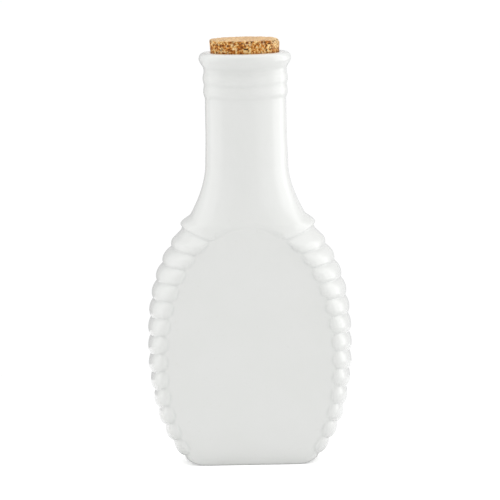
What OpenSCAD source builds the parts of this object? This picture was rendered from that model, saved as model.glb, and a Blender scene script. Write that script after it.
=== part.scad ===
// A glazed ceramic dressing bottle with a tapered cork stopper.
// Millimetres. +Z is up and the table is at z = 0. The front panel faces -Y.

/* [Body] */
// Width across the rib grooves at the waist
body_w = 98; // [92:1:108]
// Depth from the front panel to the back panel
body_d = 54; // [50:1:62]
// Height of the waist, the widest place
waist_z = 56; // [53:0.5:58]
// Rise of the side outline above the waist, to where it would close
outline_rise = 68.5; // [66:0.5:74]
// Drop of the side outline below the waist, to where it would close
outline_drop = 64; // [62:0.5:70]
// Height of the top rib groove, seen at the side
shoulder_z = 113; // [110:0.5:115]
// Height of the lowest rib groove, seen at the side
foot_z = 4; // [3:0.5:6]

/* [Panel] */
// Width of the rounded band between the flat panel and the side
band_w = 6; // [5:0.5:9]
// Height of the panel's widest place
panel_z = 50; // [47:1:53]
// Rise of the panel's outline above that, to the top of its arch
panel_rise = 66; // [64:0.5:69]
// Drop of the panel's outline below that, to where it would close
panel_drop = 61.5; // [60:0.5:66]
// Height of the top rib groove, at the panel's edge
panel_shoulder_z = 108.4; // [105:0.1:110]
// Height of the lowest rib groove, at the panel's edge
panel_foot_z = 6.2; // [5:0.1:8]

/* [Ribs] */
// Number of ribs on each side
rib_count = 13; // [9:1:15]
// Height of a rib's crest over its grooves
rib_h = 1.2; // [0.6:0.1:1.8]
// Length of a rib's rounded end
rib_end = 3.8; // [2.6:0.1:4.4]
// How far a rib's end runs onto the flat panel
rib_over = 1.2; // [0.4:0.1:2]
// Rise of the ridge over the top groove, at the side
ridge_rise = 2.8; // [2:0.1:4]
// Rise of the ridge over the top groove, at the panel's edge
ridge_edge_rise = 1.6; // [1:0.1:2.4]
// How far the ridge stands out past the top groove
ridge_out = 0.6; // [0:0.1:1.5]

/* [Foot] */
// How far the foot draws in at the sides
foot_side_in = 4.6; // [3:0.1:7]
// How far the foot draws in at the front and back
foot_front_in = 2.2; // [1:0.1:4]
// Width of the flat land that the bottle stands on
foot_land = 6; // [4:0.5:9]
// Depth of the shallow recess inside that land
recess_h = 1; // [0.4:0.1:1.5]

/* [Neck] */
// Diameter of the neck
neck_d = 40.6; // [38:0.1:43]
// Height at which the flare begins to leave the neck
flare_z = 146; // [142:1:152]
// How far the top of the flare is tucked inside the round neck
neck_tuck = 0.4; // [0.3:0.1:0.8]
// Height of the rim
rim_z = 201; // [196:1:210]
// How far the collar under the lip stands out from the neck
collar_out = 0.4; // [0.2:0.1:1]
// Height of the collar, from its lower edge to the rim
collar_h = 23; // [22:0.5:26]
// Height of the soft step at the collar's lower edge
collar_step = 2.6; // [1.5:0.1:3]
// How far the lower ring stands out from the collar
low_ring_out = 0.4; // [0.2:0.1:1]
// How far the upper ring stands out from the collar
high_ring_out = 0.6; // [0.2:0.1:1]
// Drop from the rim to the middle of the upper ring
high_ring_drop = 13.3; // [12.5:0.1:14]
// Distance between the two rings
ring_pitch = 5.9; // [5:0.1:6.5]
// Height of one ring
ring_h = 5.4; // [4:0.1:5.8]
// How far the lip stands out from the collar
lip_out = 2.4; // [1.5:0.1:4]
// Height of the lip
lip_h = 8.5; // [7:0.1:9.5]
// Radius of the rounded inner edge of the mouth
mouth_edge = 0.9; // [0.4:0.1:1.4]

/* [Hollow] */
// Wall thickness of the body
wall = 3.6; // [3:0.1:4.6]
// Wall thickness of the neck
neck_wall = 3.6; // [3.2:0.1:4]
// Height of the inside floor above the table
floor_z = 5.4; // [4.5:0.1:8]
// Radius of the rounding where the wall meets the inside floor
floor_round = 14; // [8:1:18]
// How far below the top rib groove the hollow's front begins to draw in to the neck
throat_drop = 10; // [6:0.5:16]

/* [Cork] */
// Diameter of the cork's top
cork_d = 35; // [34:0.1:36]
// Diameter of the cork's lower end
cork_low_d = 31.4; // [30:0.1:32.4]
// Length of the cork
cork_l = 26; // [22:0.5:32]
// Height of the cork's top above the rim
cork_stand = 6.3; // [4:0.1:9]
// Width of the worn edge at both ends of the cork
cork_edge = 0.6; // [0.2:0.1:1.2]
// Gap between the cork and the mouth's seat
cork_gap = 0.15; // [0.1:0.05:0.4]
// Depth of the tapered seat below the rim
seat_h = 17; // [12:0.5:18]
// Height of the slope from the seat out to the neck's bore
seat_relief = 2; // [1:0.1:4]

/* [Hidden] */

glaze_colour = [0.89, 0.9, 0.885];
cork_colour = [0.8, 0.6, 0.4];

// Powers of the curves: 2 is an ellipse, and more is squarer
outline_power = 2.4;
panel_power = 2.1;
section_power = 3.5;
hollow_power = 5;

// The flare's sideways reach follows t ^ flare_power, and the rest of it is the ridge's lip,
// between two shares of the flare's height
flare_power = 1.5;
flare_share = 0.76;
lip_from_share = 0.8;
lip_to_share = 0.97;
// Directions, from straight ahead, between which the front's form gives way to the side's
front_form_angle = 30;
side_form_angle = 62;

// The lip's outline: shares of its reach and of its height
lip_shares = [[0, 0], [0.07, 0.12], [0.3, 0.23], [0.6, 0.35], [0.83, 0.47], [0.96, 0.54],
    [1, 0.6], [0.98, 0.68], [0.9, 0.77], [0.76, 0.86], [0.52, 0.94], [0.2, 0.985], [-0.2, 1]];

// Steps of the faceted skin
run_steps = 80;
rib_steps = 4;
panel_columns = 3;
// Columns across the band: shares of the rib's end on the panel, below zero, then section angles
end_shares = [-1, -0.3];
column_angles = [1.5, 7, 18, 34, 52, 70, 83, 90];
flare_shares = [1, 0.965, 0.91, 0.85, 0.78, 0.68, 0.56, 0.42, 0.26, 0.12, 0];
// The round neck reaches down inside the flare by this share of its height, just past a ring of it
neck_low_share = 0.13;
foot_angles = [90, 60, 30];
round_steps = 96;
neck_steps = 34;
edge_steps = 5;
hollow_rings = 16;
hollow_columns = 8;
overrun = 1;

// Share of the shoulder's height over the waist by which the hollow has turned from square to round
round_share = 0.8;
// How far the hollow's rings crowd towards its two ends
crowd_share = 0.4;

half_d = body_d / 2;
throat_z = shoulder_z - throat_drop;
neck_r = neck_d / 2;
collar_r = neck_r + collar_out;
bore_r = neck_r - neck_wall;
cork_top_z = rim_z + cork_stand;
cork_low_z = cork_top_z - cork_l;
tip_lead = rib_over * 1.4;

function ease(t) = let (c = min(1, max(0, t))) c * c * (3 - 2 * c);
function mix(a, b, t) = a + (b - a) * t;

// A closed curve in the side plane: half width, middle height, rise, drop and power
outline = [body_w / 2, waist_z, outline_rise, outline_drop, outline_power];
panel = [body_w / 2 - band_w, panel_z, panel_rise, panel_drop, panel_power];

function curve_at(c, a) =
    [c[0] * pow(cos(a), 2 / c[4]),
     c[1] + (a > 0 ? c[2] : -c[3]) * pow(abs(sin(a)), 2 / c[4])];
function angle_at(c, z) = let (d = z - c[1])
    sign(d) * asin(pow(abs(d) / (d > 0 ? c[2] : c[3]), c[4] / 2));
function width_at(c, z) = curve_at(c, angle_at(c, z))[0];

// Distance run along a curve, against the curve's angle, between two heights
function run_table(c, top_z, low_z) =
    let (a = angle_at(c, top_z), step = (angle_at(c, low_z) - a) / run_steps)
    [for (i = 0, s = 0; i <= run_steps;
        s = s + norm(curve_at(c, a + (i + 1) * step) - curve_at(c, a + i * step)), i = i + 1)
        [s, a + i * step]];
function along(c, table, share) = curve_at(c, lookup(share * table[run_steps][0], table));

outline_run = run_table(outline, shoulder_z, foot_z);
panel_run = run_table(panel, panel_shoulder_z, panel_foot_z);

// Where the line of a rib meets the side, and where it meets the panel's edge
function side_end(k) = along(outline, outline_run, k / rib_count);
function panel_end(k) = along(panel, panel_run, k / rib_count);

// A section across the band, from the panel's edge to the side, for one column
function section(q, reach) = q < 0 ? [q * tip_lead, half_d] :
    [reach * pow(sin(q), 2 / section_power), half_d * pow(cos(q), 2 / section_power)];
function section_normal(q, reach) = q <= 0 ? [0, 1] :
    let (e = 2 - 2 / section_power, n = [pow(sin(q), e) / reach, pow(cos(q), e) / half_d])
    n / norm(n);

// Height of a rib: s is the share across it, from -1 to 1, and w the distance from the panel's edge
function lift(s, w) = let (a = max(0, (rib_end - rib_over - w) / rib_end))
    rib_h * max(0, 1 - s * s - a * a);

// A quarter ring, from the middle of the front round to the side
function band(p, o, s) = let (reach = norm(o - p), dir = (o - p) / reach)
    [for (q = concat(end_shares, column_angles))
        let (e = section(q, reach), n = section_normal(q, reach),
        h = lift(s, e[0]), at = p + (e[0] + h * n[0]) * dir) [at[0], -(e[1] + h * n[1]), at[1]]];
function rib_quarter(k) = let (side = band(panel_end(k), side_end(k), 2 * (k - floor(k)) - 1))
    concat([for (i = [0 : panel_columns - 1])
        [side[0][0] * i / panel_columns, -half_d, side[0][2]]], side);

// The ridge over the top groove, and the arch that it makes over the panel
arch_angle = angle_at(panel, panel_shoulder_z + ridge_edge_rise);
ridge_end = side_end(0) + [ridge_out, ridge_rise];
function ridge_quarter(share) =
    let (edge = mix(panel_end(0), curve_at(panel, arch_angle), share),
        tip = [ridge_end[0], mix(side_end(0)[1], ridge_end[1], share)],
        side = band(edge, tip, 1), corner = angle_at(panel, side[0][2]))
    concat([for (i = [0 : panel_columns - 1])
        let (at = curve_at(panel, mix(90, corner, i / panel_columns)))
        [at[0], -half_d, mix(side[0][2], at[1], share)]], side);

// The flare from the arch and the ridge up to the round neck
function side_form(t) = flare_share * pow(t, flare_power)
    + (1 - flare_share) * ease((t - lip_from_share) / (lip_to_share - lip_from_share));
function flare_quarter(t) = [for (v = ridge_quarter(1))
    let (az = atan2(v[0], -v[1]), r = norm([v[0], v[1]]),
        form = mix(ease(t), side_form(t),
            ease((az - front_form_angle) / (side_form_angle - front_form_angle))),
        out = mix(neck_r, r, form) - (t == 0 ? neck_tuck : 0))
    [out * sin(az), -out * cos(az), mix(flare_z, v[2], t)]];

// The foot below the lowest groove
function foot_quarter(a) = let (draw = 1 - cos(a), wide = side_end(rib_count)[0])
    [for (v = rib_quarter(rib_count)) [v[0] * (1 - draw * foot_side_in / wide),
        v[1] * (1 - draw * foot_front_in / half_d), v[2] * (1 - sin(a))]];

// A whole ring from its quarter, counter-clockwise seen from above
function whole_ring(quarter) = let (m = len(quarter) - 1)
    [for (j = [0 : 4 * m - 1]) let (turn = floor(j / m), i = j - turn * m,
        v = quarter[turn % 2 == 0 ? i : m - i])
        [turn < 2 ? v[0] : -v[0], turn == 0 || turn == 3 ? v[1] : -v[1], v[2]]];

// A closed skin over rings, the lowest ring first, with a middle point in each end
module skin(rings) {
    n = len(rings[0]);
    top = len(rings) - 1;
    low_mid = (top + 1) * n;
    points = concat([for (ring = rings) each ring],
        [[0, 0, rings[0][0][2]], [0, 0, rings[top][0][2]]]);
    sides = [for (i = [0 : top - 1], j = [0 : n - 1])
        let (a = i * n + j, b = i * n + (j + 1) % n)
        each [[a, a + n, b + n], [a, b + n, b]]];
    ends = [for (j = [0 : n - 1]) let (k = (j + 1) % n)
        each [[j, k, low_mid], [top * n + k, top * n + j, low_mid + 1]]];
    polyhedron(points, concat(sides, ends));
}

module body_outside() {
    skin([for (quarter = concat(
        [for (a = foot_angles) foot_quarter(a)],
        [for (i = [rib_count * rib_steps : -1 : 0]) rib_quarter(i / rib_steps)],
        [ridge_quarter(0.5)],
        [for (t = flare_shares) flare_quarter(t)])) whole_ring(quarter)]);
}

// Radius of the neck's outside under the lip
function ring_out(z, middle, out) = out * max(0, 1 - pow((z - middle) / (ring_h / 2), 2));
function neck_outside_r(z) = let (high = rim_z - high_ring_drop)
    neck_r + collar_out * ease((z - (rim_z - collar_h)) / collar_step)
    + ring_out(z, high, high_ring_out) + ring_out(z, high - ring_pitch, low_ring_out);

module neck_outside() {
    low = mix(flare_z, curve_at(panel, 90)[1], neck_low_share);
    lip_low = rim_z - lip_h;
    collar_low = rim_z - collar_h;
    rotate_extrude($fn = round_steps) polygon(concat(
        [[0, rim_z], [0, low], [neck_r, low]],
        [for (i = [0 : neck_steps - 1]) let (z = mix(collar_low, lip_low, i / neck_steps))
            [neck_outside_r(z), z]],
        [for (v = lip_shares) [collar_r + v[0] * lip_out, lip_low + v[1] * lip_h]]));
}

// Radius of the cork at a height
function cork_r(z) = mix(cork_low_d, cork_d, (z - cork_low_z) / cork_l) / 2;

module neck_bore() {
    seat_low = rim_z - seat_h;
    mouth_r = cork_r(rim_z) + cork_gap;
    rotate_extrude($fn = round_steps) polygon(concat(
        [[0, rim_z + overrun], [0, shoulder_z], [bore_r, shoulder_z],
         [bore_r, seat_low - seat_relief], [cork_r(seat_low) + cork_gap, seat_low]],
        [for (i = [0 : edge_steps]) let (a = 90 * i / edge_steps)
            [mouth_r + mouth_edge * (1 - cos(a)), rim_z - mouth_edge * (1 - sin(a))]],
        [[mouth_r + mouth_edge, rim_z + overrun]]));
}

// The hollow inside the body: its outline, and its half sizes and squareness at a height
inside = [body_w / 2 - wall, waist_z, outline_rise - wall, outline_drop - wall, outline_power];
function hollow_ring(z) =
    let (up = max(0, (z - shoulder_z) / (flare_z - shoulder_z)),
        bend = 1 - min(1, (z - floor_z) / floor_round),
        inset = floor_round * (1 - sqrt(1 - bend * bend)) + overrun * ease(up * up),
        wide = mix(bore_r, width_at(inside, min(z, shoulder_z)), pow(1 - up, 2)),
        deep = mix(half_d - wall, bore_r, ease((z - throat_z) / (flare_z - throat_z))),
        power = mix(hollow_power, 2, ease((z - waist_z) / (shoulder_z - waist_z) * round_share)))
    whole_ring([for (i = [0 : hollow_columns]) let (q = 90 * i / hollow_columns)
        [(wide - inset) * pow(sin(q), 2 / power), (inset - deep) * pow(cos(q), 2 / power), z]]);

module body_hollow() {
    skin([for (i = [0 : hollow_rings]) hollow_ring(mix(floor_z, flare_z,
        mix(i / hollow_rings, ease(i / hollow_rings), crowd_share)))]);
}

module foot_recess() {
    a = side_end(rib_count)[0] - foot_side_in - foot_land;
    b = half_d - foot_front_in - foot_land;
    translate([0, 0, -overrun]) linear_extrude(recess_h + overrun)
        polygon([for (i = [0 : round_steps - 1]) let (q = 360 * i / round_steps)
            [a * sign(cos(q)) * pow(abs(cos(q)), 2 / section_power),
             b * sign(sin(q)) * pow(abs(sin(q)), 2 / section_power)]]);
}

module bottle() {
    color(glaze_colour) difference() {
        union() {
            body_outside();
            neck_outside();
        }
        body_hollow();
        neck_bore();
        foot_recess();
    }
}

module cork_stopper() {
    color(cork_colour) rotate_extrude($fn = round_steps) polygon([
        [0, cork_low_z],
        [cork_low_d / 2 - cork_edge, cork_low_z],
        [cork_r(cork_low_z + cork_edge), cork_low_z + cork_edge],
        [cork_r(cork_top_z - cork_edge), cork_top_z - cork_edge],
        [cork_d / 2 - cork_edge, cork_top_z],
        [0, cork_top_z]]);
}

bottle();
cork_stopper();
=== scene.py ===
import math

import bpy
import numpy as np
from mathutils import Matrix, Vector, noise

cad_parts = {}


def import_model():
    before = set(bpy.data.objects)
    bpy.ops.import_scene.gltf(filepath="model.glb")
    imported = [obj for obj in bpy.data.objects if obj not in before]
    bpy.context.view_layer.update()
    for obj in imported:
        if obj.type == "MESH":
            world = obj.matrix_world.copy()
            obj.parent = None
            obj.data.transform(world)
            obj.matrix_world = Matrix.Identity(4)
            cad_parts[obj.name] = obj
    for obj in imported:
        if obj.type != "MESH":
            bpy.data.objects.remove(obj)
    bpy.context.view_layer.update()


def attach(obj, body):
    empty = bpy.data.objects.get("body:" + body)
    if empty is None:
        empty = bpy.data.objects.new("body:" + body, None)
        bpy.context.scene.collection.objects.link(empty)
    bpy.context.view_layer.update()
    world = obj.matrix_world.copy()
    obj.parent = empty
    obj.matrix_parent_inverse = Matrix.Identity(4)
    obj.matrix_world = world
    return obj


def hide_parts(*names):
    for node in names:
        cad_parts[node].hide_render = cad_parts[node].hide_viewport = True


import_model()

# Sizes are in millimetres, as in the part's source, and meshes are scaled to metres when they are made.
MM = 0.001

# The body's outline at the side and the flat panel's edge. Each is a closed curve in the side plane: half
# width, middle height, rise, drop and power.
OUTLINE = (48.3, 58.8, 66, 68.3, 2.37)
PANEL = (40.8, 50, 65.6, 61, 2.1)
# From the middle to the flat panel
HALF_D = 26.7
# Heights of the top and the lowest rib groove, at the side and at the panel's edge
SHOULDER_Z, FOOT_Z = 113.2, 3.6
PANEL_SHOULDER_Z, PANEL_FOOT_Z = 109.9, 6.6
# The round edge beside the panel: its radius, its turn in degrees, and the most of the band that it takes
EDGE_ROUND, EDGE_TURN, EDGE_ROUND_SHARE = 3.2, 32, 0.6

# The ribs: how many, how high, how long their rounded ends are, and how far an end runs onto the panel
RIB_COUNT, RIB_H, RIB_END, RIB_OVER = 13, 1.75, 3.6, 0.4
# A rib's section: how soft its ends and its grooves are, how full it is, how it starts, and its lean
TIP_SOFTNESS, GROOVE_SOFTNESS, RIB_POWER, RIB_FOOT, RIB_SKEW = 0.07, 0.05, 0.65, 0.03, -0.1
# How far in front of the panel's edge the mesh columns of the ribs begin
TIP_LEAD = 2.2
# How a rib line climbs from its panel end to its side end: the share that follows the depth, and the power
# of the top line's climb
CLIMB_SHARE, FIRST_CLIMB_POWER = 0.5, 1.2

# The first rib: how much longer it is, in ribs, and how much higher, as a share
FIRST_LONGER, FIRST_HIGHER = 0.185, 0.3
# The upright face over its side end: the share of the rib it takes, how far out and up it goes, and its bend
FACE_SHARE, FACE_OUT, FACE_RISE, FACE_POWER = 0.35, 0.6, 2.3, 1.3
# Where the rib's height fades on that face: the share of the rib, and how close to the side
FACE_FADE_SHARE, FACE_FADE_POWER = 0.3, 6

# The ridge over the first rib: its rise at the side and at the panel's edge, how far it stands out at the
# side and by what share of its rise, and the share of a rib's section that it follows
RIDGE_RISE, RIDGE_EDGE_RISE, RIDGE_OUT, RIDGE_OUT_BY, RIDGE_SHARE = 1.4, 1.0, 0.2, 0.5, 0.17
# How the panel's arch takes up the ridge: the power of the dip at its edge, and the smoothing of the arch
DIP_POWER, ARCH_PASSES, ARCH_BEFORE, ARCH_AFTER = 4, 12, 2, 3

# The foot: how far it draws in at the sides and at the front, its land's width and its recess's height
FOOT_SIDE_IN, FOOT_FRONT_IN, FOOT_LAND, RECESS_H = 8.7, 2.2, 5, 1
# The recess: the power of its oval, and its rings as shares of its reach and its height
RECESS_POWER = 3.5
RECESS_SHARES = [(0.25, 1), (0.6, 1), (0.9, 1), (0.97, 1), (0.985, 0.9), (0.99, 0.4)]
LAND_SHARES = (0, 0.12, 0.5, 0.85, 1)
# Degrees of the rounding from the land up to the lowest groove
FOOT_ANGLES = (80, 70, 60, 50, 38, 25, 12)

# The neck: its radius and the taper over its first stretch, where the flare leaves it, and the rim
NECK_R, NECK_TAPER, NECK_TAPER_H, FLARE_Z, RIM_Z = 20.3, 0.35, 16, 146, 201
# The flare: how it bends at the side, the share of the ridge's reach it takes, how it bends at the front,
# and how square its oval is at the ridge
FLARE_POWER, FLARE_SHARE, FRONT_POWER, FLARE_SQUARENESS, SQUARENESS_POWER = 1.75, 0.81, 1.6, 0.8, 3
# The shares of the flare's height between which the ridge fades out, at the side and at the front, and the
# angle from the front in degrees up to which the front's share holds
LIP_FROM_SHARE, LIP_TO_SHARE, FRONT_LIP_FROM_SHARE, FRONT_LIP_ANGLE = 0.83, 0.96, 0.9, 35
# The collar under the lip, and its two rings
COLLAR_OUT, COLLAR_H, COLLAR_STEP = 0.4, 23, 2.6
LOW_RING_OUT, HIGH_RING_OUT, HIGH_RING_DROP, RING_PITCH, RING_H = 0.4, 0.58, 12.9, 6.3, 5.4
# The lip, with its outline as shares of how far it stands out and of its height
LIP_OUT, LIP_H = 2.4, 8.5
LIP_SHARES = [(0, 0), (0.07, 0.12), (0.3, 0.23), (0.6, 0.35), (0.83, 0.47), (0.96, 0.54),
              (1, 0.6), (0.98, 0.68), (0.9, 0.77), (0.76, 0.86), (0.52, 0.94), (0.2, 0.985), (-0.2, 1)]

# The hollow: walls, the inside floor and its rounding, and where it starts to draw in to the neck
WALL, NECK_WALL, FLOOR_Z, FLOOR_ROUND, THROAT_DROP = 3.6, 3.6, 5.4, 14, 10
INSIDE = (49 - WALL, 56, 68.5 - WALL, 64 - WALL, 2.4)
# The hollow's oval: its power at the waist, how round it is at the shoulder, how it narrows above that, and
# the share of the inside floor that the innermost ring takes in
HOLLOW_POWER, ROUND_SHARE, THROAT_POWER, FLOOR_SHARE = 5, 0.8, 2, 0.5
# The bore, and the mouth with the seat that the cork sits in
BORE_R = NECK_R - NECK_WALL
MOUTH_EDGE, SEAT_H, SEAT_RELIEF, CORK_GAP = 0.9, 17, 2, 0.15

# The cork: its top and lower diameters, its length, what stands over the rim, and its rounded edge
CORK_D, CORK_LOW_D, CORK_L, CORK_STAND, CORK_EDGE = 34.6, 31.2, 26, 6.3, 0.6
CORK_TOP_Z = RIM_Z + CORK_STAND
CORK_LOW_Z = CORK_TOP_Z - CORK_L

# The glaze's slow waves, which fade out over a stretch above the foot and below the rim
WAVE_H, WAVE_LENGTH, WAVE_SEED = 0.09, 17, (3.1, 8.7, 1.9)
WAVE_FOOT_Z, WAVE_FOOT_FADE, WAVE_RIM_DROP, WAVE_RIM_FADE = 6, 8, 1, 6
# How tight a groove is where the glaze darkens most, partly pooled glaze and partly painted shade, the least
# distance it is measured over, and its smoothing
POOL_AND_SHADE_BEND, POOL_AND_SHADE_LEAST_STEP, POOL_AND_SHADE_PASSES = 0.9, 0.12, 3

# The cork's surface: sizes of granules and specks, width of a seam and share of specks that are pits
GRANULE, SPECK, SEAM_SHARE, PIT_SHARE = 1.9, 1.2, 0.2, 0.26
# How deep its waves, seams, pits and chips go, the length of a wave, and how calm the cut top is
WAVE_DEPTH, SEAM_DEPTH, PIT_DEPTH, CHIP_DEPTH, CORK_WAVE, TOP_SHARE = 0.1, 0.16, 0.5, 0.8, 4.5, 0.55
# Where its noises start, the seed that vector noise needs to be the same in each run, and the hash's numbers
CORK_SEED, NOISE_SEED = (7.3, 2.9, 5.1), 11
HASH, HASH_GAIN = (12.9898, 78.233, 37.719), 43758.5453
# The granules' bend and its pitch, and the least size of a pit with what a cell adds to it, in specks
BEND, BEND_PITCH, PIT_LEAST, PIT_SPAN = 0.18, 1.7, 0.3, 0.25
# How seams come and go: the share that is always there, the pitch, and how much of them is whole
SEAM_LEAST_SHARE, SEAM_PITCH, SEAM_WHOLE = 0.35, 1.3, 0.6
# The middle of the waves, and how far below the top the cut face and its middle point lie
WAVE_MIDDLE, CUT_DROP, MIDDLE_DROP = 0.5, 0.1, 0.06
# The top edge where it chips: its width and drop with what they fade over, and which granules come off
RIM_W, RIM_W_FADE, RIM_DROP, RIM_DROP_FADE = 1.6, 1.3, 1.9, 1.5
CHIP_FROM_SHARE, CHIP_FADE_SHARE, CHIP_SHARE, CHIP_DOWN = 0.72, 0.1, 0.7, 0.8
# The broken corner at the right, and the painted sheen: a paler side under it, where the light falls
CORNER_X, CORNER_FADE, CORNER_SHARE, WORN_CORNER_SHARE = 13.5, 3, 0.7, 0.8
SHEEN_X, SHEEN_FADE, SHEEN_DROP, SHEEN_DROP_FADE, SHEEN_SHARE = 11.5, 3.5, 7, 5, 0.75

# Rings and columns of the meshes
PANEL_COLUMNS, END_COLUMNS, EDGE_COLUMNS, SIDE_COLUMNS, CORK_COLUMNS = 12, 7, 22, 25, 350
RIB_STEPS, GROOVE_CROWDING, RUN_STEPS, RIDGE_ROWS = 14, 0.5, 600, 5
FLARE_ROWS, FLARE_CROWDING, NECK_START, NECK_STEP, COLLAR_RING_STEP = 48, 1.3, 2, 3.5, 0.42
LIP_ROWS, LIP_PASSES, NECK_PASSES, MOUTH_ROWS, SEAT_ROWS, BORE_ROWS = 40, 6, 3, 7, 8, 5
THROAT_ROWS, HOLLOW_ROWS, FLOOR_ANGLES = 9, 12, np.linspace(12, 90, 7)
# The cork's rings: how far below the rim the fine ones start, and the radii next to its ends' middles
CORK_END_ROWS, CORK_HIDDEN_ROWS, CORK_SHOWN_ROWS, CORK_TOP_ROWS = 12, 30, 40, 62
CORK_FINE_DROP, CORK_LOW_FIRST_R, CORK_TOP_LAST_R = 1.5, 0.8, 0.5
CORK_LOW_ANGLES, CORK_TOP_ANGLES = (-60, -30), (20, 40, 60, 80)


def ease(t):
    """0 below 0 and 1 above 1, smooth between them."""
    t = np.clip(t, 0, 1)
    return t * t * (3 - 2 * t)


def mix(a, b, t):
    """a where t is 0, b where t is 1, and a straight way between them."""
    return a + (b - a) * t


def averaged(rows):
    """Every row but the first and the last, averaged with its two neighbours."""
    return (rows[:-2] + 2 * rows[1:-1] + rows[2:]) / 4


def curve_at(curve, angle):
    """Points (across, height) of a closed curve at angles in radians."""
    half, middle, rise, drop, power = curve
    angle = np.asarray(angle, float)
    across = half * np.abs(np.cos(angle)) ** (2 / power)
    reach = np.where(angle > 0, rise, -drop)
    return np.stack([across, middle + reach * np.abs(np.sin(angle)) ** (2 / power)], -1)


def angle_at(curve, height):
    """The angle at which a closed curve reaches a height."""
    _, middle, rise, drop, power = curve
    d = np.asarray(height, float) - middle
    share = np.abs(d) / np.where(d > 0, rise, drop)
    return np.sign(d) * np.arcsin(np.clip(share, 0, 1) ** (power / 2))


def panel_top(x):
    """The height of the panel's arch at a distance from the middle."""
    half, middle, rise, _, power = PANEL
    return middle + rise * (1 - (x / half) ** power) ** (1 / power)


def along(curve, top_z, low_z, share):
    """Points at equal shares of the way run along a curve from one height down to another."""
    angles = np.linspace(angle_at(curve, top_z), angle_at(curve, low_z), RUN_STEPS + 1)
    steps = np.linalg.norm(np.diff(curve_at(curve, angles), axis=0), axis=1)
    run = np.concatenate([[0], np.cumsum(steps)])
    return curve_at(curve, np.interp(np.asarray(share) * run[-1], run, angles))


def side_end(k):
    """The side's end of rib line k, with the upright face under the ridge."""
    k = np.asarray(k, float)
    up = np.maximum(0, 1 - k / FACE_SHARE)[..., None] ** FACE_POWER
    return along(OUTLINE, SHOULDER_Z, FOOT_Z, k / RIB_COUNT) + up * (FACE_OUT, FACE_RISE)


def panel_end(k):
    """The panel's end of rib line k, with the longer first rib."""
    k = np.asarray(k, float)
    share = (k + FIRST_LONGER * np.minimum(k, 1)) / (RIB_COUNT + FIRST_LONGER)
    return along(PANEL, PANEL_SHOULDER_Z, PANEL_FOOT_Z, share)


def section(reach):
    """The band's section, for rings of one reach each: distance from the panel's edge, depth, and normals.

    A round edge of EDGE_ROUND turns by EDGE_TURN, and a curve goes on from it to the side.
    """
    reach = np.asarray(reach, float)[:, None]
    turn = math.radians(EDGE_TURN)
    r = np.minimum(EDGE_ROUND, EDGE_ROUND_SHARE * reach)
    a = turn * np.arange(1, EDGE_COLUMNS + 1) / EDGE_COLUMNS
    arc = np.stack([r * np.sin(a), HALF_D - r * (1 - np.cos(a))], -1)
    arc_normal = np.stack([np.sin(a) + 0 * r, np.cos(a) + 0 * r], -1)
    start = arc[:, -1:]
    knee_depth = start[..., 1] - (reach - start[..., 0]) * math.tan(turn)
    knee = np.stack([reach, knee_depth], -1)
    end = np.stack([reach, 0 * reach], -1)
    t = (np.arange(1, SIDE_COLUMNS + 1) / SIDE_COLUMNS)[None, :, None]
    curve = (1 - t) ** 2 * start + 2 * t * (1 - t) * knee + t * t * end
    way = (1 - t) * (knee - start) + t * (end - knee)
    normal = np.stack([-way[..., 1], way[..., 0]], -1)
    normal = normal / np.linalg.norm(normal, axis=-1, keepdims=True)
    return np.concatenate([arc, curve], 1), np.concatenate([arc_normal, normal], 1)


def lift(s, w):
    """Height of a rib. s goes from -1 at its upper groove to 1, w is the distance from the panel's edge."""
    a = np.maximum(0, (RIB_END - RIB_OVER - w) / RIB_END)
    u = 1 - np.abs(s + RIB_SKEW * (1 - s * s))
    u = np.sqrt(u * u + (GROOVE_SOFTNESS * (1 - u * u)) ** 2)
    u = 1 - np.sqrt((1 - u) ** 2 + a * a)
    m = (u + np.sqrt(u * u + TIP_SOFTNESS ** 2)) / 2
    return RIB_H * ((m * (2 - m) + RIB_FOOT) ** RIB_POWER - RIB_FOOT ** RIB_POWER)


def first_rib(k, share):
    """What the first rib's height is multiplied by: more in its middle, and little on the upright face."""
    more = 1 + FIRST_HIGHER * np.sin(math.pi * np.clip(k, 0, 1))
    return more * mix(1, ease(np.abs(k) / FACE_FADE_SHARE), share ** FACE_FADE_POWER)


def band(edge, side, k):
    """Rings from the panel's edge round to the side, for rib lines k. edge and side are (rings, 2)."""
    k = np.asarray(k, float)[:, None]
    reach = np.linalg.norm(side - edge, axis=-1)
    way = (side - edge) / reach[:, None]
    ends = np.linspace(-TIP_LEAD, 0, END_COLUMNS + 1)
    at_end = np.stack([ends + 0 * reach[:, None], HALF_D + 0 * ends + 0 * reach[:, None]], -1)
    normal_end = np.zeros_like(at_end)
    normal_end[..., 1] = 1
    at, normal = section(reach)
    at, normal = np.concatenate([at_end, at], 1), np.concatenate([normal_end, normal], 1)
    share = np.clip(at[..., 0] / reach[:, None], 0, 1)
    h = lift(2 * (k - np.floor(k)) - 1, at[..., 0]) * first_rib(k, share)
    run = at[..., 0] + h * normal[..., 0]
    depth = at[..., 1] + h * normal[..., 1]
    back = mix(at[..., 0] / reach[:, None], 1 - at[..., 1] / HALF_D, CLIMB_SHARE)
    back = mix(share ** FIRST_CLIMB_POWER, back, np.clip(k, 0, 1))
    across = edge[:, :1] + run * way[:, :1]
    climb = side[:, 1:] - edge[:, 1:]
    height = edge[:, 1:] + climb * back + h * normal[..., 0] * way[:, 1:]
    return np.stack([across, -depth, height], -1)


def rib_rows():
    """Quarter rings from the lowest groove up to the top one, closest together in the grooves."""
    i = np.arange(RIB_COUNT * RIB_STEPS, -1, -1) / RIB_STEPS
    part = i - np.floor(i)
    k = i - GROOVE_CROWDING * np.sin(2 * math.pi * part) / (2 * math.pi)
    side = band(panel_end(k), side_end(k), k)
    x = side[:, :1, 0] * np.arange(PANEL_COLUMNS) / PANEL_COLUMNS
    panel = np.stack([x, np.full_like(x, -HALF_D), side[:, :1, 2] + 0 * x], -1)
    return np.concatenate([panel, side], 1)


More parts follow.
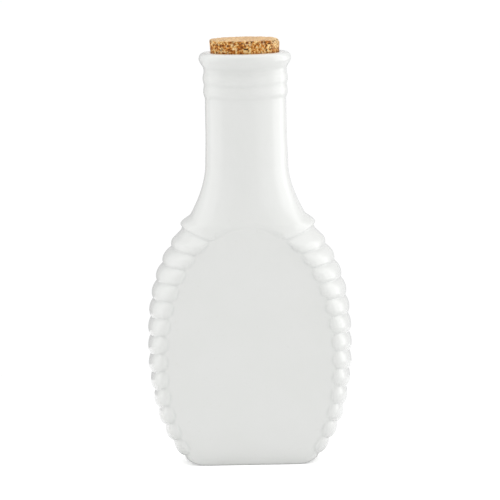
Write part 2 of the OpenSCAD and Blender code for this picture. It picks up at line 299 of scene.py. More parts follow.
def ridge_rows(shares):
    """Quarter rings from the top groove up to the ridge and the panel's arch, for shares of that rise."""
    shares = np.asarray(shares, float)
    arch = angle_at(PANEL, PANEL_SHOULDER_Z + RIDGE_EDGE_RISE)
    low_edge, low_side = panel_end(0.0), side_end(0.0)
    edge = mix(low_edge, curve_at(PANEL, arch), shares[:, None])
    tip_x = low_side[0] + RIDGE_OUT * np.clip(shares / RIDGE_OUT_BY, 0, 1)
    tip = np.stack([tip_x, low_side[1] + RIDGE_RISE * shares], -1)
    side = band(edge, tip, -RIDGE_SHARE * shares)
    share = np.arange(PANEL_COLUMNS) / PANEL_COLUMNS
    x = side[:, :1, 0] * share
    dip = side[:, :1, 2] - panel_top(side[:, :1, 0])
    z = mix(side[:, :1, 2], panel_top(x) + dip * share ** DIP_POWER, shares[:, None])
    panel = np.stack([x, np.full_like(z, -HALF_D), z], -1)
    rows = np.concatenate([panel, side], 1)
    first, last = PANEL_COLUMNS - ARCH_BEFORE, PANEL_COLUMNS + END_COLUMNS + ARCH_AFTER
    soft = rows[:, :, 2].copy()
    for _ in range(ARCH_PASSES):
        soft[:, first:last] = averaged(soft[:, first - 1:last + 1].T).T
    rows[:, :, 2] = mix(rows[:, :, 2], soft, shares[:, None])
    return rows


def oval_at(azimuth, wide, deep, power):
    """Distance from the middle to a superellipse."""
    across, along_depth = np.abs(np.sin(azimuth) / wide), np.abs(np.cos(azimuth) / deep)
    return (across ** power + along_depth ** power) ** (-1 / power)


def flare_rows(shares):
    """Quarter rings from the arch and the ridge up to the round neck.

    The flare is oval at each height, and what the base ring has beyond that fades out just above it.
    """
    base = ridge_rows([1.0])[0]
    azimuth = np.arctan2(base[:, 0], -base[:, 1])
    base_z = base[:, 2]
    tip_r, tip_z = base[-1, 0], base[-1, 2]
    t = np.asarray(shares, float)[:, None]

    def plain(z):
        u = (FLARE_Z - z) / (FLARE_Z - tip_z)
        wide = mix(NECK_R, tip_r, FLARE_SHARE * u ** FLARE_POWER)
        deep = mix(NECK_R, HALF_D, u ** FRONT_POWER)
        return oval_at(azimuth, wide, deep, 2 + FLARE_SQUARENESS * np.minimum(u, 1) ** SQUARENESS_POWER)

    z = mix(FLARE_Z, base_z, t)
    beyond = np.hypot(base[:, 0], base[:, 1]) - plain(base_z)
    turn = ease((np.degrees(azimuth) - FRONT_LIP_ANGLE) / (90 - FRONT_LIP_ANGLE))
    lip_from = mix(FRONT_LIP_FROM_SHARE, LIP_FROM_SHARE, turn)
    lip_to = mix(1, LIP_TO_SHARE, turn)
    out = plain(z) + beyond * ease((t - lip_from) / (lip_to - lip_from))
    return np.stack([out * np.sin(azimuth), -out * np.cos(azimuth), z], -1)


def foot_rows(degrees):
    """Quarter rings of the rounding between the lowest groove, at 0 degrees, and the land, at 90."""
    low = rib_rows()[0]
    angles = np.radians(degrees)
    draw, drop = 1 - np.cos(angles)[:, None], 1 - np.sin(angles)[:, None]
    wide = side_end(float(RIB_COUNT))[0]
    x = low[:, 0] * (1 - draw * FOOT_SIDE_IN / wide)
    y = low[:, 1] * (1 - draw * FOOT_FRONT_IN / HALF_D)
    return np.stack([x, y, low[:, 2] * drop], -1)


def underside_rows():
    """Quarter rings from the recess's middle to the land's edge, and the two that bound the bare clay."""
    land = foot_rows([90])[0]
    q = np.linspace(0, math.pi / 2, len(land))
    power = 2 / RECESS_POWER
    wide = side_end(float(RIB_COUNT))[0] - FOOT_SIDE_IN - FOOT_LAND
    deep = HALF_D - FOOT_FRONT_IN - FOOT_LAND
    recess = np.stack([wide * np.sin(q) ** power, -deep * np.cos(q) ** power, 0 * q], -1)
    rows = [recess * (share, share, 0) + (0, 0, up * RECESS_H) for share, up in RECESS_SHARES]
    rows += [mix(recess, land, share) for share in LAND_SHARES]
    return rows, (len(RECESS_SHARES) - 1, len(rows) - 1)


def neck_outside_r(z):
    """The radius of the neck and its collar, with the two rings, at a height."""
    def ring(middle, out):
        return out * np.maximum(0, 1 - ((z - middle) / (RING_H / 2)) ** 2)

    neck = NECK_R - NECK_TAPER * ease((z - FLARE_Z) / NECK_TAPER_H)
    collar = COLLAR_OUT * ease((z - (RIM_Z - COLLAR_H)) / COLLAR_STEP)
    high = RIM_Z - HIGH_RING_DROP
    return neck + collar + ring(high, HIGH_RING_OUT) + ring(high - RING_PITCH, LOW_RING_OUT)


def smooth_line(points, steps, passes):
    """A smooth line through points: spread evenly along the way, then averaged with their neighbours."""
    points = np.asarray(points, float)
    run = np.concatenate([[0], np.cumsum(np.linalg.norm(np.diff(points, axis=0), axis=1))])
    at = np.linspace(0, run[-1], steps)
    line = np.stack([np.interp(at, run, points[:, i]) for i in range(2)], -1)
    for _ in range(passes):
        line[1:-1] = averaged(line)
    return line


def neck_profile():
    """Radius and height from the top of the flare up to the lip's inner top."""
    lip_low, collar_low = RIM_Z - LIP_H, RIM_Z - COLLAR_H
    plain = np.arange(FLARE_Z + NECK_START, collar_low, NECK_STEP)
    z = np.concatenate([plain, np.arange(collar_low, lip_low, COLLAR_RING_STEP)])
    line = np.stack([neck_outside_r(z), z], -1)
    lip = smooth_line([(out * LIP_OUT, up * LIP_H) for out, up in LIP_SHARES], LIP_ROWS, LIP_PASSES)
    line = np.concatenate([line, lip + (NECK_R - NECK_TAPER + COLLAR_OUT, lip_low)])
    soft = line[len(plain):].copy()
    for _ in range(NECK_PASSES):
        soft[1:-1] = averaged(soft)
    line[len(plain):] = soft
    return line


def cork_r(z):
    """The radius of the tapered cork at a height."""
    return mix(CORK_LOW_D, CORK_D, (z - CORK_LOW_Z) / CORK_L) / 2


def mouth_profile():
    """Radius and height from the rounded mouth down the seat and the bore."""
    mouth_r = cork_r(RIM_Z) + CORK_GAP
    a = np.radians(np.linspace(90, 0, MOUTH_ROWS))
    edge = np.stack([mouth_r + MOUTH_EDGE * (1 - np.cos(a)), RIM_Z - MOUTH_EDGE * (1 - np.sin(a))], -1)
    seat_low = RIM_Z - SEAT_H
    seat_z = np.linspace(RIM_Z - MOUTH_EDGE, seat_low, SEAT_ROWS)[1:]
    seat = np.stack([cork_r(seat_z) + CORK_GAP, seat_z], -1)
    bore_z = np.linspace(seat_low - SEAT_RELIEF, FLARE_Z + NECK_START, BORE_ROWS)
    bore = np.stack([np.full_like(bore_z, BORE_R), bore_z], -1)
    return np.concatenate([edge, seat, bore])


def hollow_row(z, q):
    """A quarter ring of the hollow at one height, for angles q from the front to the side."""
    waist_z = OUTLINE[1]
    up = max(0, (z - SHOULDER_Z) / (FLARE_Z - SHOULDER_Z))
    bend = 1 - min(1, (z - FLOOR_Z) / FLOOR_ROUND)
    inset = FLOOR_ROUND * (1 - math.sqrt(max(0, 1 - bend * bend)))
    body_wide = float(curve_at(INSIDE, angle_at(INSIDE, min(z, SHOULDER_Z)))[0])
    wide = mix(BORE_R, body_wide, (1 - up) ** THROAT_POWER)
    throat_z = SHOULDER_Z - THROAT_DROP
    deep = mix(HALF_D - WALL, BORE_R, ease((z - throat_z) / (FLARE_Z - throat_z)))
    power = mix(HOLLOW_POWER, 2, ease((z - waist_z) / (SHOULDER_Z - waist_z) * ROUND_SHARE))
    x = (wide - inset) * np.sin(q) ** (2 / power)
    y = (inset - deep) * np.cos(q) ** (2 / power)
    return np.stack([x, y, np.full_like(q, z)], -1)


def hollow_rows(q):
    """Quarter rings of the hollow, from the neck down to the inside floor and in towards its middle."""
    round_z = FLOOR_Z + FLOOR_ROUND
    throat = np.linspace(FLARE_Z, SHOULDER_Z, THROAT_ROWS)
    body = np.linspace(SHOULDER_Z, round_z, HOLLOW_ROWS)[1:]
    rounding = FLOOR_Z + FLOOR_ROUND * (1 - np.sin(np.radians(FLOOR_ANGLES)))
    rows = np.array([hollow_row(z, q) for z in np.concatenate([throat, body, rounding])])
    return np.concatenate([rows, rows[-1:] * (FLOOR_SHARE, FLOOR_SHARE, 1)])


def round_rows(profile, turns):
    """Quarter rings of revolution. turns holds each column's azimuth for each ring."""
    r, z = profile[:, :1], profile[:, 1:]
    return np.stack([r * np.sin(turns), -r * np.cos(turns), z + 0 * turns], -1)


def bottle_quarters():
    """All quarter rings, from under the foot to the rim and down inside, and the two that bound the clay."""
    rows, land_rows = underside_rows()
    rows += list(foot_rows(FOOT_ANGLES))
    foot_top = len(rows)
    rows += list(rib_rows())
    ridge_top = len(rows) + RIDGE_ROWS
    rows += list(ridge_rows(np.arange(1, RIDGE_ROWS + 1) / RIDGE_ROWS))
    rows += list(flare_rows(1 - (np.arange(1, FLARE_ROWS + 1) / FLARE_ROWS) ** FLARE_CROWDING))
    rows = np.array(rows)
    for crease, reach in ((foot_top, 1), (ridge_top, 2)):
        rows[crease - reach:crease + reach] = averaged(rows[crease - reach - 1:crease + reach + 1])
    azimuth = np.arctan2(rows[-1][:, 0], -rows[-1][:, 1])
    azimuth[0], azimuth[-1] = 0, math.pi / 2
    even = np.linspace(0, math.pi / 2, len(azimuth))
    neck, mouth = neck_profile(), mouth_profile()
    turn = ease((neck[:, 1:] - (RIM_Z - LIP_H)) / LIP_H)
    outside = round_rows(neck, mix(azimuth, even, turn))
    inside = round_rows(mouth, np.tile(even, (len(mouth), 1)))
    return np.concatenate([rows, outside, inside, hollow_rows(even)]), land_rows


def whole_rings(quarters):
    """Whole rings, counter-clockwise from above, made of quarter rings that run from front to side."""
    quarter = quarters[:, :-1]
    back = quarters[:, :0:-1]
    one = np.concatenate([quarter, back * (1, -1, 1)], 1)
    other = np.concatenate([quarter * (-1, -1, 1), back * (-1, 1, 1)], 1)
    return np.concatenate([one, other], 1)


def ring_faces(rows, columns):
    """Quads between rings, wound to face outwards where the rings go up."""
    i, j = np.meshgrid(np.arange(rows - 1), np.arange(columns), indexing="ij")
    a, b = i * columns + j, i * columns + (j + 1) % columns
    return np.stack([a, b, b + columns, a + columns], -1).reshape(-1, 4)


def closed_object(name, points, columns, materials):
    """An object from points in mm: rings of so many columns, then the middles of the first and last ring."""
    rows = (len(points) - 2) // columns
    faces = [tuple(face) for face in ring_faces(rows, columns).tolist()]
    first = list(range(columns))[::-1]
    last = list(range((rows - 1) * columns, rows * columns))
    for ring, middle in ((first, rows * columns), (last, rows * columns + 1)):
        faces += [(ring[i], ring[(i + 1) % columns], middle) for i in range(columns)]
    mesh = bpy.data.meshes.new(name)
    mesh.from_pydata((points * MM).tolist(), [], faces)
    mesh.validate()
    mesh.shade_smooth()
    for material in materials:
        mesh.materials.append(material)
    made = bpy.data.objects.new(name, mesh)
    bpy.context.scene.collection.objects.link(made)
    return made


def point_values(made, name, values):
    """Keeps a value for each point, which the materials read by its name."""
    layer = made.data.attributes.new(name, "FLOAT", "POINT")
    layer.data.foreach_set("value", np.asarray(values, np.float32))


def waves(points):
    """The slow unevenness of a cast and glazed surface."""
    return np.array([noise.noise(Vector(p) / WAVE_LENGTH + Vector(WAVE_SEED)) for p in points])


def hollows(rings, normals):
    """How far each point of the rings lies in a groove: 0 on plain and convex places, 1 in a tight one."""
    up = np.zeros_like(rings)
    up[1:-1] = rings[2:] + rings[:-2] - 2 * rings[1:-1]
    up_step = np.ones(rings.shape[:2])
    up_step[1:-1] = np.linalg.norm(rings[2:] - rings[:-2], axis=-1) / 2
    on = np.roll(rings, 1, 1) + np.roll(rings, -1, 1) - 2 * rings
    on_step = np.linalg.norm(np.roll(rings, 1, 1) - np.roll(rings, -1, 1), axis=-1) / 2
    bend = np.maximum(np.sum(up * normals, -1) / np.maximum(up_step, POOL_AND_SHADE_LEAST_STEP) ** 2,
                      np.sum(on * normals, -1) / np.maximum(on_step, POOL_AND_SHADE_LEAST_STEP) ** 2)
    deep = np.clip(bend / POOL_AND_SHADE_BEND, 0, 1)
    for _ in range(POOL_AND_SHADE_PASSES):
        deep[1:-1] = averaged(deep)
        deep = (np.roll(deep, 1, 1) + 2 * deep + np.roll(deep, -1, 1)) / 4
    return deep


def bottle(glaze, bare):
    """The glazed body: the grooves' pooled glaze and painted shade are measured on the plain form, and the
    waves come after that.
    """
    quarters, land_rows = bottle_quarters()
    rings = whole_rings(quarters)
    columns = rings.shape[1]
    points = rings.reshape(-1, 3)
    points = np.concatenate([points, [(0, 0, points[0, 2]), (0, 0, points[-1, 2])]])
    made = closed_object("glazed_bottle", points, columns, [glaze, bare])
    normals = np.zeros(len(points) * 3, np.float32)
    made.data.vertex_normals.foreach_get("vector", normals)
    normals = normals.reshape(-1, 3).astype(float)
    # How deep in a groove each point lies: the glaze darkens there, partly pooled glaze and partly painted
    # shade
    pool_and_shade = hollows(rings, normals[:-2].reshape(rings.shape)).reshape(-1)
    point_values(made, "pool_and_shade", np.concatenate([pool_and_shade, [0, 0]]))
    z = points[:, 2]
    free = ease((z - WAVE_FOOT_Z) / WAVE_FOOT_FADE) * ease((RIM_Z - WAVE_RIM_DROP - z) / WAVE_RIM_FADE)
    points = points + normals * (WAVE_H * free * waves(points))[:, None]
    made.data.vertices.foreach_set("co", (points * MM).astype(np.float32).reshape(-1))
    made.data.update()
    slots = np.zeros(len(made.data.polygons), np.int32)
    slots[land_rows[0] * columns:land_rows[1] * columns] = 1
    made.data.polygons.foreach_set("material_index", slots)
    return made


def dice(cell, turn):
    """A fixed share from 0 to 1 for a cell's middle."""
    value = HASH_GAIN * math.sin(cell[0] * (HASH[0] + turn) + cell[1] * HASH[1] + cell[2] * HASH[2])
    return value - math.floor(value)


def cork_grain(points):
    """For each point: its granule's tone, the seam and pit shares, and its granule's chance to chip off."""
    noise.seed_set(NOISE_SEED)
    values = []
    for point in points:
        at = Vector(point) / GRANULE + Vector(CORK_SEED)
        at += BEND * Vector(noise.noise_vector(at * BEND_PITCH))
        reach, cells = noise.voronoi(at)
        seam = 1 - float(ease((reach[1] - reach[0]) / SEAM_SHARE))
        seam *= mix(SEAM_LEAST_SHARE, 1, float(ease(noise.noise(at * SEAM_PITCH) + SEAM_WHOLE)))
        reach, specks = noise.voronoi(Vector(point) / SPECK + Vector(CORK_SEED) * 2)
        pit = 0.0
        if dice(specks[0], 1.7) < PIT_SHARE:
            pit = 1 - float(ease(reach[0] / (PIT_LEAST + PIT_SPAN * dice(specks[0], 3.1))))
        values.append((dice(cells[0], 0), seam, pit, dice(cells[0], 5.3)))
    return np.array(values)


def cork_profile():
    """Radius, height, and the outward direction of each ring, from the bottom's middle to the top's."""
    low, top = CORK_LOW_Z, CORK_TOP_Z
    fine = RIM_Z - CORK_FINE_DROP
    end = np.linspace(CORK_LOW_FIRST_R, CORK_LOW_D / 2 - CORK_EDGE, CORK_END_ROWS)
    lines = [(r, low, 0, -1) for r in end]
    middle = cork_r(low + CORK_EDGE) - CORK_EDGE
    for a in np.radians(CORK_LOW_ANGLES):
        out, up = math.cos(a), math.sin(a)
        lines.append((middle + CORK_EDGE * out, low + CORK_EDGE * (1 + up), out, up))
    hidden = np.linspace(low + CORK_EDGE, fine, CORK_HIDDEN_ROWS, endpoint=False)
    for z in np.concatenate([hidden, np.linspace(fine, top - CORK_EDGE, CORK_SHOWN_ROWS)]):
        lines.append((cork_r(z), z, 1, 0))
    middle = cork_r(top) - CORK_EDGE
    for a in np.radians(CORK_TOP_ANGLES):
        out, up = math.cos(a), math.sin(a)
        lines.append((middle + CORK_EDGE * out, top - CORK_EDGE * (1 - up), out, up))
    lines += [(r, top, 0, 1) for r in np.linspace(middle, CORK_TOP_LAST_R, CORK_TOP_ROWS)]
    return np.array(lines)


def cork(material):
    """The stopper: granules, seams and pits, a chipped top edge and a broken corner at the right."""
    a = np.linspace(0, 2 * math.pi, CORK_COLUMNS, endpoint=False)
    profile = cork_profile()
    r, z, out, up = (profile[:, i:i + 1] for i in range(4))
    points = np.stack([r * np.sin(a), -r * np.cos(a), z + 0 * a], -1).reshape(-1, 3)
    way = np.stack([out * np.sin(a), -out * np.cos(a), up + 0 * a], -1).reshape(-1, 3)
    tone, seam, pit, chance = cork_grain(points).T

    rim = ease((np.hypot(points[:, 0], points[:, 1]) - (CORK_D / 2 - RIM_W)) / RIM_W_FADE)
    rim = rim * ease((points[:, 2] - (CORK_TOP_Z - RIM_DROP)) / RIM_DROP_FADE)
    chip = rim * ease((chance - CHIP_FROM_SHARE) / CHIP_FADE_SHARE)
    corner = ease((points[:, 0] - CORNER_X) / CORNER_FADE) * rim * CORNER_SHARE

    wave = np.array([noise.noise(Vector(p) / CORK_WAVE) for p in points])
    sunk = np.clip(WAVE_DEPTH * (WAVE_MIDDLE + wave) + SEAM_DEPTH * seam + PIT_DEPTH * pit, 0, 1)
    sunk = sunk * np.where(points[:, 2] > CORK_TOP_Z - CUT_DROP, TOP_SHARE, 1)
    points = points - way * sunk[:, None]
    radius = CORK_D / 2
    toward = np.stack([-points[:, 0] / radius, -points[:, 1] / radius, np.full(len(points), -CHIP_DOWN)], -1)
    points = points + toward * (CHIP_DEPTH * np.clip(chip * CHIP_SHARE + corner, 0, 1))[:, None]

    middles = [(0, 0, CORK_LOW_Z), (0, 0, CORK_TOP_Z - MIDDLE_DROP)]
    made = closed_object("cork_body", np.concatenate([points, middles]), CORK_COLUMNS, [material])
    # Painted sheen: a paler patch high on the right side, where the light falls, added to the chips' real
    # wear
    side = ease((points[:, 2] - (CORK_TOP_Z - SHEEN_DROP)) / SHEEN_DROP_FADE)
    side = side * ease((points[:, 0] - SHEEN_X) / SHEEN_FADE)
    worn = np.clip(chip + WORN_CORNER_SHARE * corner + SHEEN_SHARE * side, 0, 1)
    for name, values in (("granule", tone), ("seam", seam), ("pit", pit), ("worn", worn)):
        point_values(made, name, np.concatenate([values, values[[0, -1]]]))
    return made


class Nodes:
    """Short calls for a node tree. A socket takes a number, a colour or another node's output."""

    def __init__(self, tree):
        self.tree = tree

    def put(self, socket, value):
        if isinstance(value, bpy.types.NodeSocket):
            self.tree.links.new(value, socket)
        elif isinstance(value, tuple) and len(value) == 3 and socket.type == "RGBA":
            socket.default_value = (*value, 1)
        else:
            socket.default_value = value

    def make(self, kind, inputs=None, **settings):
        node = self.tree.nodes.new("ShaderNode" + kind)
        for name, value in settings.items():
            setattr(node, name, value)
        for name, value in (inputs or {}).items():
            self.put(node.inputs[name], value)
        return node

    def maths(self, operation, *values):
        node = self.make("Math", operation=operation)
        for i, value in enumerate(values):
            self.put(node.inputs[i], value)
        return node.outputs[0]

    def plus(self, a, b):
        return self.maths("ADD", a, b)

    def minus(self, a, b):
        return self.maths("SUBTRACT", a, b)

    def times(self, a, b):
        return self.maths("MULTIPLY", a, b)

    def fade(self, value, low, high):
        """0 below low and 1 above high, smooth between them."""
        inputs = {"Value": value, "From Min": low, "From Max": high}
        return self.make("MapRange", inputs, interpolation_type="SMOOTHSTEP").outputs["Result"]

    def noise(self, scale, detail, roughness=0.5):
        """Clouds fixed to the object. The scale is in waves to a metre."""
        where = self.make("TexCoord").outputs["Object"]
        inputs = {"Vector": where, "Scale": scale, "Detail": detail, "Roughness": roughness}
        return self.make("TexNoise", inputs).outputs["Fac"]

    def bump(self, height, depth_mm, strength, under=None):
        """A normal with relief. It goes over the normal under it, where one is given."""
        inputs = {"Height": height, "Distance": depth_mm * MM, "Strength": strength}
        if under is not None:
            inputs["Normal"] = under
        return self.make("Bump", inputs).outputs["Normal"]

    def blend(self, share, first, second):
        """A colour mix: share 0 gives the first."""
        node = self.make("Mix", data_type="RGBA")
        for name, value in (("Factor_Float", share), ("A_Color", first), ("B_Color", second)):
            self.put(next(s for s in node.inputs if s.identifier == name), value)
        return next(s for s in node.outputs if s.identifier == "Result_Color")

    def ramp(self, value, stops):
        """A colour for a value, from stops of place and colour."""
        node = self.make("ValToRGB", {"Fac": value})
        elements = node.color_ramp.elements
        while len(elements) < len(stops):
            elements.new(0.5)
        for element, (at, colour) in zip(elements, stops):
            element.position = at
            element.color = (*colour, 1)
        return node.outputs["Color"]

    def attribute(self, name):
        return self.make("Attribute", attribute_name=name).outputs["Fac"]

    def seen_by_camera(self):
        return self.make("LightPath").outputs["Is Camera Ray"]


def new_material(name, colour, roughness):
    """A material with one Principled shader, the shader, and the maker of its nodes."""
    material = bpy.data.materials.new(name)
    material.use_nodes = True
    shader = material.node_tree.nodes["Principled BSDF"]
    shader.inputs["Base Color"].default_value = (*colour, 1)
    shader.inputs["Roughness"].default_value = roughness
    return material, shader, Nodes(material.node_tree)


# The glaze's colours, with the grooves' colour partly pooled glaze and partly painted shade
GLAZE, GLAZE_DEEP, GLAZE_PALE = (0.812, 0.821, 0.802), (0.806, 0.816, 0.795), (0.819, 0.827, 0.810)
GLAZE_FLECK, GLAZE_POOL_AND_SHADE = (0.70, 0.69, 0.64), (0.58, 0.60, 0.585)
# Its noises, each waves to a metre and detail: slow clouds of tone, fine flecks, and the uneven surface
GLAZE_CLOUDS, GLAZE_FLECKS, GLAZE_PEEL = (38, 3), (620, 2), (210, 1)
# The spans of noise over which clouds and flecks come up, and how far flecks and the grooves' pooled glaze
# and painted shade go to their colours
CLOUD_SPAN, FLECK_SPAN, FLECK_SHARE, POOL_AND_SHADE_SHARE = (0.3, 0.7), (0.66, 0.74), 0.12, 0.4
# Roughness, what the clouds add to it, and the coat's, then depth in mm and strength of both reliefs
GLAZE_ROUGH, CLOUD_ROUGH, COAT_ROUGH, PEEL_RELIEF, FINE_RELIEF = 0.19, 0.06, 0.06, (0.04, 0.5), (0.006, 0.4)


def glaze_material():
    """White glaze over white clay, darker in the grooves: partly pooled glaze and partly painted shade."""
    material, shader, nodes = new_material("white_glaze", GLAZE, 0.22)
    cloud, fine = nodes.noise(*GLAZE_CLOUDS), nodes.noise(*GLAZE_FLECKS)
    colour = nodes.blend(nodes.fade(cloud, *CLOUD_SPAN), GLAZE_DEEP, GLAZE_PALE)
    colour = nodes.blend(nodes.times(nodes.fade(fine, *FLECK_SPAN), FLECK_SHARE), colour, GLAZE_FLECK)
    # Darker in the grooves: partly pooled glaze and partly painted shade
    colour = nodes.blend(nodes.times(nodes.attribute("pool_and_shade"), POOL_AND_SHADE_SHARE), colour, GLAZE_POOL_AND_SHADE)
    soft = nodes.bump(nodes.noise(*GLAZE_PEEL), *PEEL_RELIEF)
    nodes.put(shader.inputs["Base Color"], colour)
    nodes.put(shader.inputs["Roughness"], nodes.plus(GLAZE_ROUGH, nodes.times(cloud, CLOUD_ROUGH)))
    nodes.put(shader.inputs["Normal"], nodes.bump(fine, *FINE_RELIEF, soft))
    nodes.put(shader.inputs["Coat Normal"], soft)
    shader.inputs["Coat Weight"].default_value = 1
    shader.inputs["Coat Roughness"].default_value = COAT_ROUGH
    return material


# The bare clay's colours, and its noises, each waves to a metre and detail
CLAY, CLAY_PALE = (0.72, 0.70, 0.65), (0.74, 0.725, 0.68)
CLAY_STAIN, CLAY_GRIT = (0.66, 0.63, 0.565), (0.50, 0.46, 0.39)
CLAY_SAND, CLAY_CLOUDS = (1900, 3, 0.7), (110, 3)
# The spans of noise over which stains and grit come up, how far grit goes to its colour, roughness with what
# the sand adds to it, and the sand's relief
STAIN_SPAN, GRIT_SPAN, GRIT_SHARE = (0.35, 0.7), (0.55, 0.72), 0.5
CLAY_ROUGH, SAND_ROUGH, SAND_RELIEF = 0.78, 0.16, (0.09, 0.8)


def bare_material():
    """The unglazed land under the foot: fired clay with a fine, sandy grain."""
    material, shader, nodes = new_material("bare_clay", CLAY, 0.85)
    sand, stain = nodes.noise(*CLAY_SAND), nodes.noise(*CLAY_CLOUDS)
    colour = nodes.blend(nodes.fade(stain, *STAIN_SPAN), CLAY_PALE, CLAY_STAIN)
    colour = nodes.blend(nodes.times(nodes.fade(sand, *GRIT_SPAN), GRIT_SHARE), colour, CLAY_GRIT)
    nodes.put(shader.inputs["Base Color"], colour)
    nodes.put(shader.inputs["Roughness"], nodes.plus(CLAY_ROUGH, nodes.times(sand, SAND_ROUGH)))
    nodes.put(shader.inputs["Normal"], nodes.bump(sand, *SAND_RELIEF))
    return material


# The cork's tones from dark granules to pale ones, and the colours of what lies over them
CORK_TONES = [(0.0, (0.17, 0.042, 0.006)), (0.2, (0.43, 0.135, 0.020)), (0.46, (0.66, 0.245, 0.042)),
              (0.74, (0.84, 0.42, 0.105)), (1.0, (0.98, 0.72, 0.34))]
# The flakes' colour also paints the sheen on the cork's right side
CORK, CORK_CUT, CORK_FLAKE_AND_SHEEN = (0.6, 0.33, 0.12), (0.85, 0.66, 0.43), (0.97, 0.74, 0.41)
# The seams' colour also paints the shade where the cork meets the rim
CORK_SEAM_AND_SHADE, CORK_PIT = (0.23, 0.080, 0.016), (0.050, 0.014, 0.004)
# The middle tone, and how far the granules, their grain and the patches move it
TONE, GRANULE_TONE, GRAIN_TONE, PATCH_TONE = 0.52, 0.55, 3.6, 0.7
# Its noises, each waves to a metre and detail, and the spans over which pale flakes and dark specks come up
CORK_GRAIN, CORK_PATCHES, CORK_FLAKES, CORK_SPECKS = (860, 2), (150, 2), (640, 1), (780, 1)
FLAKE_SPAN, SPECK_SPAN = (0.6, 0.68), (0.62, 0.68)
# The cut top, by how far it faces up: how far it goes to its colour, and what it takes from seams and specks
CUT_SPAN, CUT_SHARE, CUT_CLEAN = (0.45, 0.85), 0.55, 0.6
# How far the worn chips with the painted sheen on the right side, flakes, seams and specks go to their
# colours
WORN_AND_SHEEN_TONE, FLAKE_TONE, SEAM_TONE, SPECK_TONE = 0.6, 0.65, 0.7, 0.92
# Painted shade where the cork meets the rim, from below to above it in mm, and how far it darkens
RIM_SHADE_BELOW, RIM_SHADE_ABOVE, RIM_SHADE_SHARE = 0.6, 0.7, 0.6
# Roughness with what the grain adds to it, the granules' part in the relief, and its depth and strength
CORK_ROUGH, GRAIN_ROUGH, GRANULE_RELIEF, CORK_RELIEF, CORK_SPECULAR = 0.8, 0.16, 0.4, (0.18, 0.7), 0.2


def cork_material():
    """Pressed granules of many tones: dark seams, pits and specks, a paler cut top, and painted shade at the
    rim.
    """
    material, shader, nodes = new_material("pressed_cork", CORK, 0.9)
    blend, fade, plus, minus, times = nodes.blend, nodes.fade, nodes.plus, nodes.minus, nodes.times
    grain, patch = nodes.noise(*CORK_GRAIN), nodes.noise(*CORK_PATCHES)
    flakes = fade(nodes.noise(*CORK_FLAKES), *FLAKE_SPAN)
    specks = fade(nodes.noise(*CORK_SPECKS), *SPECK_SPAN)
    granule, seam, pit, worn = (nodes.attribute(name) for name in ("granule", "seam", "pit", "worn"))
    tone = TONE
    for what, gain in ((granule, GRANULE_TONE), (grain, GRAIN_TONE), (patch, PATCH_TONE)):
        tone = plus(tone, times(minus(what, 0.5), gain))
    normal = nodes.make("NewGeometry").outputs["Normal"]
    cut = fade(nodes.make("SeparateXYZ", {"Vector": normal}).outputs["Z"], *CUT_SPAN)
    shown = minus(1, times(cut, CUT_CLEAN))
    where = nodes.make("TexCoord").outputs["Object"]
    height_at = nodes.make("SeparateXYZ", {"Vector": where}).outputs["Z"]
    # Painted shade where the cork meets the rim: darker from just above the rim down into the mouth
    rim_shade = minus(1, fade(height_at, (RIM_Z - RIM_SHADE_BELOW) * MM, (RIM_Z + RIM_SHADE_ABOVE) * MM))
    colour = blend(times(cut, CUT_SHARE), nodes.ramp(tone, CORK_TONES), CORK_CUT)
    # Worn chips and the painted sheen on the right side
    colour = blend(times(worn, WORN_AND_SHEEN_TONE), colour, CORK_FLAKE_AND_SHEEN)
    colour = blend(times(flakes, FLAKE_TONE), colour, CORK_FLAKE_AND_SHEEN)
    colour = blend(times(seam, times(shown, SEAM_TONE)), colour, CORK_SEAM_AND_SHADE)
    colour = blend(times(nodes.maths("MAXIMUM", pit, specks), times(shown, SPECK_TONE)), colour, CORK_PIT)
    colour = blend(times(rim_shade, RIM_SHADE_SHARE), colour, CORK_SEAM_AND_SHADE)
    nodes.put(shader.inputs["Base Color"], colour)
    nodes.put(shader.inputs["Roughness"], plus(CORK_ROUGH, times(grain, GRAIN_ROUGH)))
    nodes.put(shader.inputs["Normal"], nodes.bump(plus(grain, times(granule, GRANULE_RELIEF)), *CORK_RELIEF))
    shader.inputs["Specular IOR Level"].default_value = CORK_SPECULAR
    return material


# The card that the bottle stands on: its reach in metres, its tone, and what the camera sees added to that
CARD_REACH, CARD_TONE, CARD_GLOW = 0.5, 0.9, 0.44
CARD_DARK, CARD_PALE = (0.895, 0.895, 0.895), (0.905, 0.905, 0.905)
# Its fibres' noise, and their relief
CARD_FIBRES, CARD_RELIEF = (900, 4, 0.6), (0.05, 0.3)


def floor():
    """A sheet of white card. The camera sees it lifted to the photograph's white, and its light isn't."""
    material, shader, nodes = new_material("floor_card", (CARD_TONE,) * 3, 0.9)
    fibre = nodes.noise(*CARD_FIBRES)
    nodes.put(shader.inputs["Base Color"], nodes.blend(fibre, CARD_DARK, CARD_PALE))
    nodes.put(shader.inputs["Normal"], nodes.bump(fibre, *CARD_RELIEF))
    glow = nodes.make("Emission", {"Strength": nodes.times(nodes.seen_by_camera(), CARD_GLOW)})
    both = nodes.make("AddShader")
    nodes.put(both.inputs[0], shader.outputs[0])
    nodes.put(both.inputs[1], glow.outputs[0])
    nodes.put(material.node_tree.nodes["Material Output"].inputs["Surface"], both.outputs[0])
    mesh = bpy.data.meshes.new("floor")
    corners = [(x * CARD_REACH, y * CARD_REACH, 0) for x, y in ((-1, -1), (1, -1), (1, 1), (-1, 1))]
    mesh.from_pydata(corners, [], [(0, 1, 2, 3)])
    mesh.materials.append(material)
    made = bpy.data.objects.new("floor", mesh)
    bpy.context.scene.collection.objects.link(made)


# The studio: light from all round, what the camera sees behind the object, and how wide a wall's edge fades
ROOM_LIGHT, WHITE, WALL_BLEND = 0.84, 1.02, 10
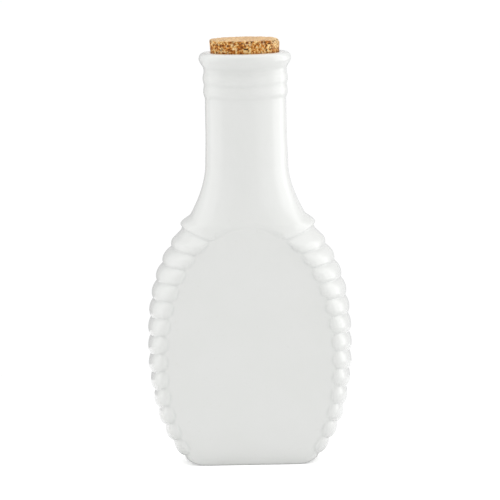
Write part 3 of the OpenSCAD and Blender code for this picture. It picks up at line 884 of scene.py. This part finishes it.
# Its walls: azimuth from the front, half width, lowest and highest elevation in degrees, and light added
WALLS = [
    ("right_wall", 105, 22, -40, 42, 0.64),
    ("right_lamp", 126, 9, -40, 20, 0.22),
    ("right_dark", 157, 17, -40, 60, -0.2),
    ("right_surround", 100, 70, -40, 50, 0.18),
    ("left_wall", -98, 24, -40, 50, 0.38),
    ("left_dark", -162, 16, -40, 32, -0.25),
    ("front_dark", 0, 28, 10, 50, -0.08),
    ("ceiling", 0, 180, 48, 95, 0.33),
]


def world():
    """Soft light from all round, with brighter and darker walls. The camera sees plain white."""
    made = bpy.data.worlds.new("studio")
    bpy.context.scene.world = made
    made.use_nodes = True
    nodes = Nodes(made.node_tree)
    fade, plus, minus, times = nodes.fade, nodes.plus, nodes.minus, nodes.times
    way = nodes.make("SeparateXYZ", {"Vector": nodes.make("TexCoord").outputs["Generated"]}).outputs
    azimuth = times(nodes.maths("ARCTAN2", way["X"], times(way["Y"], -1)), math.degrees(1))
    elevation = times(nodes.maths("ARCSINE", way["Z"]), math.degrees(1))
    light = ROOM_LIGHT
    soft = WALL_BLEND / 2
    for _, middle, width, low, high, gain in WALLS:
        off = nodes.maths("ABSOLUTE", minus(azimuth, middle))
        off = nodes.maths("MINIMUM", off, minus(360, off))
        beside = minus(1, fade(off, width - soft, width + soft)) if width < 180 else 1
        above = fade(elevation, low - soft, low + soft)
        below = minus(1, fade(elevation, high - soft, high + soft))
        light = plus(light, times(times(beside, times(above, below)), gain))
    seen = nodes.seen_by_camera()
    background = made.node_tree.nodes["Background"]
    nodes.put(background.inputs["Strength"], plus(times(light, minus(1, seen)), times(seen, WHITE)))
    background.inputs["Color"].default_value = (1, 1, 1, 1)


# The camera, far off with a long lens: what the picture's width takes in, and the distance
FRAME_W, DISTANCE = 245, 10000
# Its height over level and its roll in degrees, and the point it looks at
ELEVATION, ROLL, AIM = 4.6, 1.03, (0.85, 0, 103.5)
# The sensor's width, and the nearest and farthest it sees, in metres
SENSOR_W, CLIP_NEAR, CLIP_FAR = 36, 0.05, 60


def camera():
    """The photograph's view: nearly flat, a little from above, and a little rolled."""
    angle = math.radians(ELEVATION)
    back = Vector((0, -math.cos(angle), math.sin(angle)))
    data = bpy.data.cameras.new("camera")
    data.sensor_width = SENSOR_W
    data.lens = SENSOR_W * DISTANCE / FRAME_W
    data.clip_start, data.clip_end = CLIP_NEAR, CLIP_FAR
    made = bpy.data.objects.new("camera", data)
    turn = (-back).to_track_quat("-Z", "Y").to_matrix() @ Matrix.Rotation(math.radians(-ROLL), 3, "Z")
    made.matrix_world = Matrix.Translation(Vector(AIM) * MM + back * DISTANCE * MM) @ turn.to_4x4()
    bpy.context.scene.collection.objects.link(made)
    bpy.context.scene.camera = made


def main():
    """The camera, the studio and the floor, then both pieces on their bodies."""
    bpy.context.scene.view_settings.view_transform = "Standard"
    camera()
    world()
    floor()
    made = bottle(glaze_material(), bare_material())
    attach(made, "bottle")
    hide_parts("bottle")
    stopper = cork(cork_material())
    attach(stopper, "cork")
    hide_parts("cork_stopper")


main()
